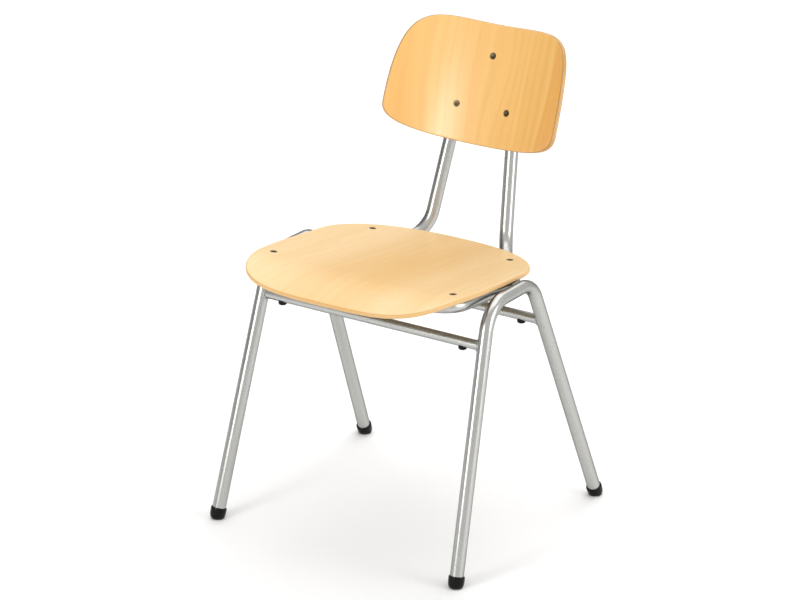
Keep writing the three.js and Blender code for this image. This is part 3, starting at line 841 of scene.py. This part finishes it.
for side, sign in (("left", 1), ("right", -1)):
    for end in FOOT_Y:
        foot_cap(f"{side}_{end}_foot", end, sign)
        bumper(f"{side}_{end}_stacking", end, sign)

# ---------------------------------------------------------------- floor, light and camera


FLOOR_HALF_SIZE = 20  # metres
ROOM_LIGHT = 0.82
DIM_SIDE_LIGHT = 0.1
BACKDROP_LIGHT = 0.58

# The camera stands at the sitter's left front. Angles are in degrees, and lengths in millimetres.
CAMERA = dict(azimuth=33.46, elevation=20.97, roll=0.33, distance=5396.5, aim_right=1.19, aim_height=374.83,
              lens=150.72, sensor_width=36)


def studio_floor():
    n = Nodes("pale_floor")
    at = n.object_coords()
    mottle = n.noise(at, 3.0, 3.0)
    base = n.blend(n.ramp(mottle, 0.3, 0.7), colour(0.93, 0.93, 0.925), colour(0.95, 0.95, 0.95))
    n.set(Base_Color=base, Roughness=n.ramp(mottle, 0.3, 0.7, 0.7, 0.8), Specular_IOR_Level=0.2)
    mesh = bpy.data.meshes.new("studio_floor")
    half = FLOOR_HALF_SIZE
    corners = [(-half, -half, 0), (half, -half, 0), (half, half, 0), (-half, half, 0)]
    mesh.from_pydata(corners, [], [(0, 1, 2, 3)])
    mesh.materials.append(n.material)
    floor = bpy.data.objects.new("studio_floor", mesh)
    bpy.context.scene.collection.objects.link(floor)


def soft_light(name, at, target, size, power):
    light = bpy.data.lights.new(name, "AREA")
    light.shape = "RECTANGLE"
    light.size, light.size_y = size
    light.energy = power
    obj = bpy.data.objects.new(name, light)
    obj.location = at
    obj.rotation_euler = (Vector(target) - Vector(at)).to_track_quat("-Z", "Y").to_euler()
    obj.visible_camera = False
    bpy.context.scene.collection.objects.link(obj)


def make_camera():
    azimuth, elevation, roll = (math.radians(CAMERA[key]) for key in ("azimuth", "elevation", "roll"))
    level = math.cos(elevation)
    away = Vector((math.sin(azimuth) * level, -math.cos(azimuth) * level, math.sin(elevation)))
    flat_right = Vector((math.cos(azimuth), math.sin(azimuth), 0))
    flat_up = away.cross(flat_right)
    right = flat_right * math.cos(roll) + flat_up * math.sin(roll)
    up = flat_up * math.cos(roll) - flat_right * math.sin(roll)
    target = right * CAMERA["aim_right"] + Vector((0, 0, CAMERA["aim_height"]))
    spot = Vector(to_frame(target + away * CAMERA["distance"]))
    lens = bpy.data.cameras.new("camera")
    lens.lens = CAMERA["lens"]
    lens.sensor_width = CAMERA["sensor_width"]
    camera = bpy.data.objects.new("camera", lens)
    turn = Matrix((right, up, away)).transposed()
    camera.matrix_world = Matrix.Translation(spot) @ turn.to_4x4()
    bpy.context.scene.collection.objects.link(camera)
    bpy.context.scene.camera = camera


def around(azimuth, distance, height):
    """A place round the chair. Azimuth 0 is in front of it and 90 on the sitter's left."""
    turn = math.radians(azimuth)
    return (distance * math.sin(turn), -distance * math.cos(turn), height)


def studio_world():
    """A studio that is dim on the sitter's right, and a plain grey backdrop for the camera."""
    world = bpy.data.worlds.new("studio")
    world.use_nodes = True
    tree = world.node_tree
    room = tree.nodes["Background"]
    room.inputs["Color"].default_value = (1, 1, 1, 1)
    backdrop = tree.nodes.new("ShaderNodeBackground")
    backdrop.inputs["Color"].default_value = (1, 1, 1, 1)
    backdrop.inputs["Strength"].default_value = BACKDROP_LIGHT
    direction = tree.nodes.new("ShaderNodeTexCoord")
    facing = tree.nodes.new("ShaderNodeVectorMath")
    facing.operation = "DOT_PRODUCT"
    facing.inputs[1].default_value = around(-100, 1, 0)
    dimming = tree.nodes.new("ShaderNodeMapRange")
    dimming.inputs["From Min"].default_value = 0.1
    dimming.inputs["From Max"].default_value = 0.8
    dimming.inputs["To Min"].default_value = ROOM_LIGHT
    dimming.inputs["To Max"].default_value = DIM_SIDE_LIGHT
    path = tree.nodes.new("ShaderNodeLightPath")
    pick = tree.nodes.new("ShaderNodeMixShader")
    tree.links.new(direction.outputs["Generated"], facing.inputs[0])
    tree.links.new(facing.outputs["Value"], dimming.inputs["Value"])
    tree.links.new(dimming.outputs[0], room.inputs["Strength"])
    tree.links.new(path.outputs["Is Camera Ray"], pick.inputs[0])
    tree.links.new(room.outputs[0], pick.inputs[1])
    tree.links.new(backdrop.outputs[0], pick.inputs[2])
    tree.links.new(pick.outputs[0], tree.nodes["World Output"].inputs["Surface"])
    bpy.context.scene.world = world


studio_floor()
studio_world()
soft_light("key_softbox", around(-13, 3.0, 1.15), (0, 0, 0.6), (0.8, 1.3), 28)
soft_light("top_softbox", around(213, 0.9, 4.2), (0, 0, 0.3), (4.5, 4.5), 86)
soft_light("backdrop_softbox", around(213, 3.2, 3.0), around(213, 3.0, 0), (4.5, 2.2), 50)
soft_light("right_softbox", around(95, 3.2, 1.2), (0, 0, 0.4), (1.5, 2.0), 32)
bpy.context.scene.view_settings.view_transform = "Standard"
make_camera()
